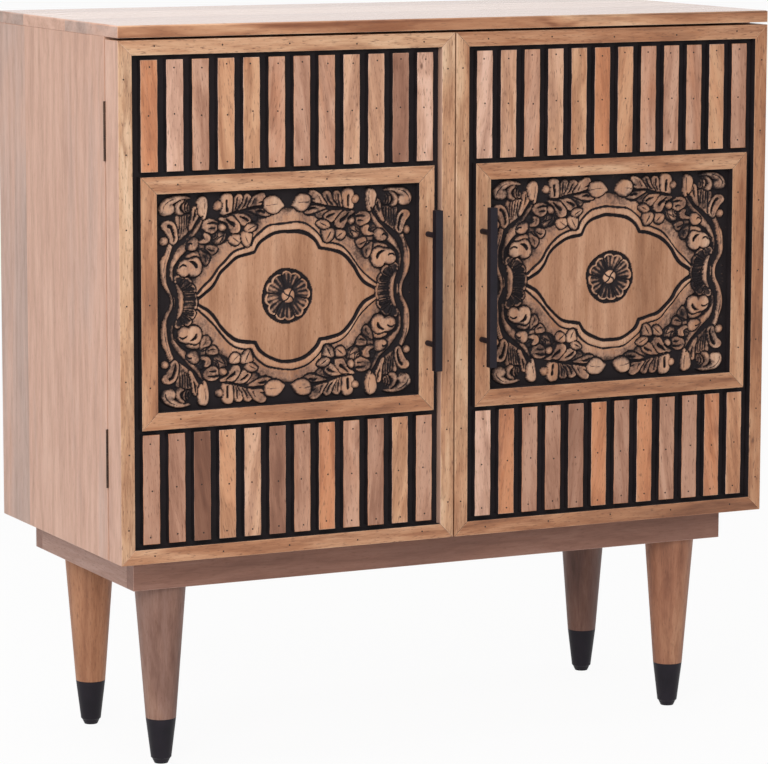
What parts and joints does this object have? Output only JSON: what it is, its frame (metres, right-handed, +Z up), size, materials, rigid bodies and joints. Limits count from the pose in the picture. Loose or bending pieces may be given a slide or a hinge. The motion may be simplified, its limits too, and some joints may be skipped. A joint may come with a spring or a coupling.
{
  "type": "two-door cabinet",
  "caption": "Wooden cabinet on tapered legs with hinged doors of upright slats round a framed carved panel, bar handles and an inner shelf.",
  "frame": {"origin": "on the floor, under the middle of the whole piece's box, handles and hinge knuckles included", "axes": "+X to the right seen from the front, +Y to the back (the doors face -Y), +Z up"},
  "size_m": [0.9044, 0.432, 0.92],
  "materials": {
    "mango_wood": "oiled mango wood, planed, with open grain",
    "slat_wood": "sawn and sanded mango slats of mixed tones",
    "carved_wood": "hand-carved mango, its ground and grooves stained black",
    "black_board": "board stained matt black",
    "inner_wood": "plain sanded wood",
    "black_metal": "satin black powder coat",
    "dark_hinge_metal": "dark bronzed steel",
    "bright_steel": "zinc-plated",
    "catch_plastic": "moulded brown plastic"
  },
  "bodies": {
    "case": {"back_left_leg": "mango_wood", "back_left_leg_cap": "black_metal", "back_panel": "inner_wood", "back_right_leg": "mango_wood", "back_right_leg_cap": "black_metal", "base_back_rail": "mango_wood", "base_corner_blocks": "inner_wood", "base_front_rail": "mango_wood", "base_left_rail": "mango_wood", "base_right_rail": "mango_wood", "bottom_panel": "inner_wood", "case_hinge_leaves": "dark_hinge_metal", "case_hinge_screws": "bright_steel", "door_catch": "catch_plastic", "front_left_leg": "mango_wood", "front_left_leg_cap": "black_metal", "front_right_leg": "mango_wood", "front_right_leg_cap": "black_metal", "hinge_pins": "dark_hinge_metal", "left_side_panel": "mango_wood", "leg_bolts": "bright_steel", "right_side_panel": "mango_wood", "shelf": "inner_wood", "shelf_pins": "bright_steel", "top_panel": "mango_wood"},
    "left_door": {"left_door_board": "black_board", "left_door_bottom_rail": "mango_wood", "left_door_carved_panel": "carved_wood", "left_door_handle": "black_metal", "left_door_handle_screws": "bright_steel", "left_door_hinge_leaves": "dark_hinge_metal", "left_door_hinge_screws": "bright_steel", "left_door_hinge_stile": "mango_wood", "left_door_lower_slats": "slat_wood", "left_door_meeting_stile": "mango_wood", "left_door_panel_frame_bottom": "mango_wood", "left_door_panel_frame_left": "mango_wood", "left_door_panel_frame_right": "mango_wood", "left_door_panel_frame_top": "mango_wood", "left_door_strike_plate": "bright_steel", "left_door_top_rail": "mango_wood", "left_door_upper_slats": "slat_wood"},
    "right_door": {"right_door_board": "black_board", "right_door_bottom_rail": "mango_wood", "right_door_carved_panel": "carved_wood", "right_door_handle": "black_metal", "right_door_handle_screws": "bright_steel", "right_door_hinge_leaves": "dark_hinge_metal", "right_door_hinge_screws": "bright_steel", "right_door_hinge_stile": "mango_wood", "right_door_lower_slats": "slat_wood", "right_door_meeting_stile": "mango_wood", "right_door_panel_frame_bottom": "mango_wood", "right_door_panel_frame_left": "mango_wood", "right_door_panel_frame_right": "mango_wood", "right_door_panel_frame_top": "mango_wood", "right_door_strike_plate": "bright_steel", "right_door_top_rail": "mango_wood", "right_door_upper_slats": "slat_wood"}
  },
  "joints": [
    {"name": "left_door_swing", "type": "hinge", "parent": "case", "child": "left_door", "pos_m": [-0.4508, -0.1425, 0.586], "axis": [0, 0, -1], "range_deg": [0, 180]},
    {"name": "right_door_swing", "type": "hinge", "parent": "case", "child": "right_door", "pos_m": [0.4508, -0.1425, 0.586], "axis": [0, 0, 1], "range_deg": [0, 180]}
  ]
}
